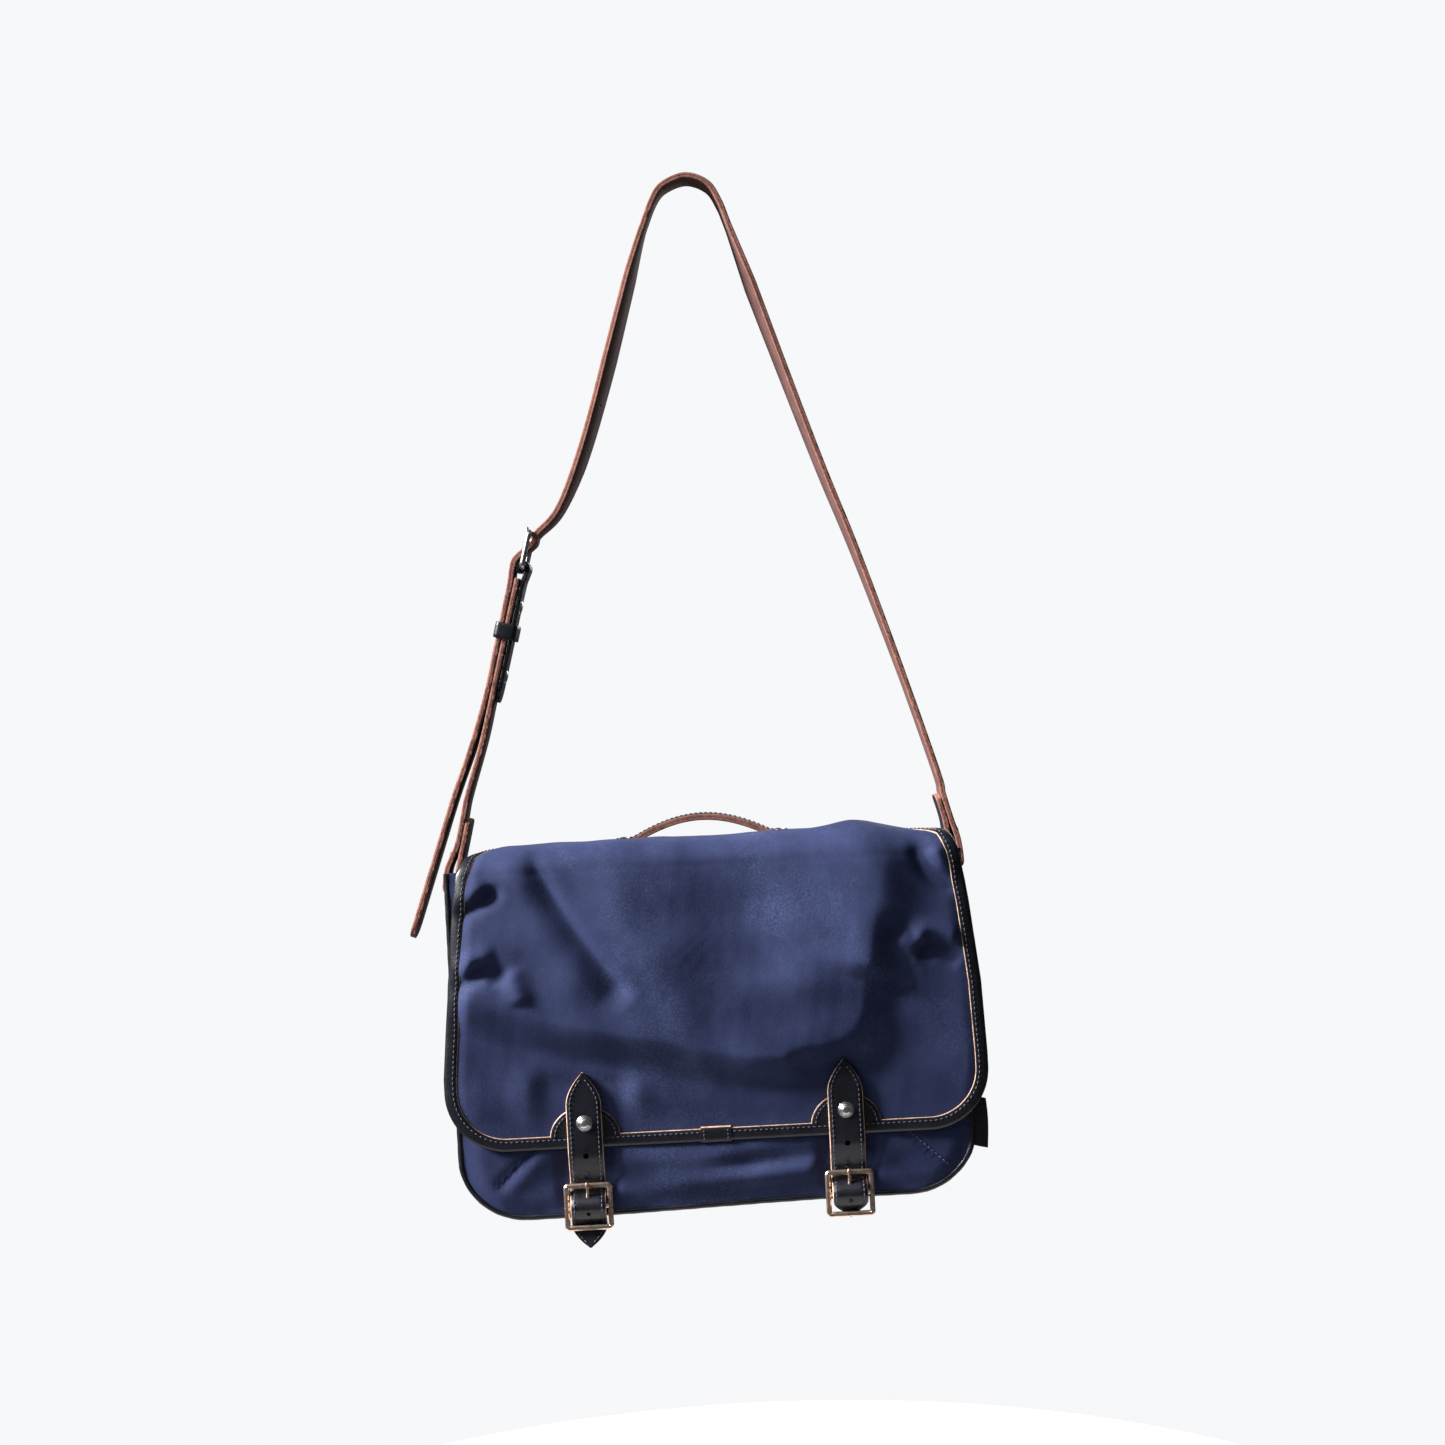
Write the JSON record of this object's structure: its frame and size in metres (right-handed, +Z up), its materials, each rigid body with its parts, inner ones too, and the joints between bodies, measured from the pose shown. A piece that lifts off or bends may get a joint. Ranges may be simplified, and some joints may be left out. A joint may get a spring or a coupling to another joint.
{
  "type": "messenger bag",
  "caption": "Navy cloth messenger bag hanging by its leather shoulder strap, with a leather-bound flap, buckled closure straps, a grab handle and an adjustable strap buckle.",
  "frame": {"origin": "underside of the shoulder strap at the point where it lies on a hook, in the middle of the strap's width", "axes": "+Z up, -Y out of the flap, +X to the viewer's right when the flap is seen from the front"},
  "size_m": [0.428, 0.1265, 0.7968],
  "materials": {
    "fabric_navy": "matte coated cotton",
    "leather_navy": "glossy grained",
    "leather_flesh": "matte flesh side",
    "leather_edge": "raw cut edge",
    "thread": "waxed thread",
    "lining_cloth": "plain weave",
    "tag_cloth": "woven tape",
    "nickel": "polished nickel",
    "copper_metal": "polished, worn",
    "black_metal": "satin"
  },
  "bodies": {
    "strap": {"strap_crown": "leather_navy", "strap_left_leg": "leather_navy", "strap_right_leg": "leather_navy", "strap_threaded": "leather_navy", "strap_tail": "leather_navy", "buckle_strap": "leather_navy", "chape_fold": "leather_navy", "chape_rivets": "nickel", "shoulder_buckle": "nickel"},
    "shoulder_prong": {"shoulder_prong": "nickel"},
    "keeper": {"keeper": "leather_navy"},
    "bag": {"front_panel": "fabric_navy", "back_panel": "fabric_navy", "gusset_left": "fabric_navy", "gusset_right": "fabric_navy", "base_panel": "fabric_navy", "lining": "lining_cloth", "inner_pocket": "lining_cloth", "mouth_binding": "leather_navy", "front_piping": "leather_navy", "back_piping": "leather_navy", "side_tag": "tag_cloth", "flap_anchor_strip": "fabric_navy", "ring_tab_left": "leather_navy", "ring_tab_right": "leather_navy", "ring_left": "nickel", "ring_right": "nickel", "strap_end_left": "leather_navy", "strap_end_right": "leather_navy", "strap_end_rivets": "black_metal", "chape_left": "leather_navy", "chape_right": "leather_navy"},
    "flap_top": {"flap_top": "fabric_navy", "flap_top_binding_left": "leather_navy", "flap_top_binding_right": "leather_navy", "handle": "leather_navy", "handle_rivets": "nickel"},
    "flap_front": {"flap_front": "fabric_navy", "flap_binding_left": "leather_navy", "flap_binding_right": "leather_navy", "flap_binding_bottom": "leather_navy", "binding_joint_cover": "leather_navy", "flap_patch_left": "leather_navy", "flap_patch_right": "leather_navy", "closure_top_left": "leather_navy", "closure_top_right": "leather_navy", "closure_cap_left": "nickel", "closure_cap_right": "nickel", "cap_washers": "nickel"},
    "closure_left": {"closure_strap_left": "leather_navy", "closure_tail_left": "leather_navy"},
    "buckle_left": {"buckle_left": "copper_metal"},
    "prong_left": {"prong_left": "copper_metal"},
    "closure_right": {"closure_strap_right": "leather_navy", "closure_tail_right": "leather_navy"},
    "buckle_right": {"buckle_right": "copper_metal"},
    "prong_right": {"prong_right": "copper_metal"}
  },
  "joints": [
    {"name": "bag_swing", "type": "hinge", "parent": "strap", "child": "bag", "pos_m": [-0.014, 0, -0.4664], "axis": [1, 0, 0], "range_deg": [-20, 20]},
    {"name": "shoulder_prong", "type": "hinge", "parent": "strap", "child": "shoulder_prong", "pos_m": [-0.138, 0, -0.2874], "axis": [0, -1, 0], "range_deg": [0, 100], "deforming": ["strap_threaded"]},
    {"name": "keeper_slide", "type": "slide", "parent": "strap", "child": "keeper", "axis": [0.2588, 0, 0.9659], "range_m": [-0.02, 0.008]},
    {"name": "flap_lift", "type": "hinge", "parent": "bag", "child": "flap_top", "pos_m": [-0.014, 0.056, -0.4924], "axis": [-1, 0, 0], "range_deg": [0, 35], "deforming": ["closure_tail_left", "closure_tail_right"]},
    {"name": "flap_fold", "type": "hinge", "parent": "flap_top", "child": "flap_front", "pos_m": [-0.014, -0.058, -0.4904], "axis": [-1, 0, 0], "range_deg": [0, 100], "deforming": ["closure_tail_left", "closure_tail_right"]},
    {"name": "closure_left", "type": "hinge", "parent": "flap_front", "child": "closure_left", "pos_m": [-0.11, -0.065, -0.7204], "axis": [-1, 0, 0], "range_deg": [0, 90], "deforming": ["closure_tail_left"]},
    {"name": "buckle_left", "type": "hinge", "parent": "bag", "child": "buckle_left", "pos_m": [-0.11, -0.0644, -0.7618], "axis": [1, 0, 0], "range_deg": [-15, 10], "deforming": ["closure_tail_left"]},
    {"name": "prong_left", "type": "hinge", "parent": "buckle_left", "child": "prong_left", "pos_m": [-0.11, -0.0644, -0.7618], "axis": [1, 0, 0], "range_deg": [0, 95], "deforming": ["closure_tail_left"]},
    {"name": "closure_right", "type": "hinge", "parent": "flap_front", "child": "closure_right", "pos_m": [0.082, -0.065, -0.7204], "axis": [-1, 0, 0], "range_deg": [0, 90], "deforming": ["closure_tail_right"]},
    {"name": "buckle_right", "type": "hinge", "parent": "bag", "child": "buckle_right", "pos_m": [0.082, -0.0644, -0.7618], "axis": [1, 0, 0], "range_deg": [-15, 10], "deforming": ["closure_tail_right"]},
    {"name": "prong_right", "type": "hinge", "parent": "buckle_right", "child": "prong_right", "pos_m": [0.082, -0.0644, -0.7618], "axis": [1, 0, 0], "range_deg": [0, 95], "deforming": ["closure_tail_right"]}
  ]
}
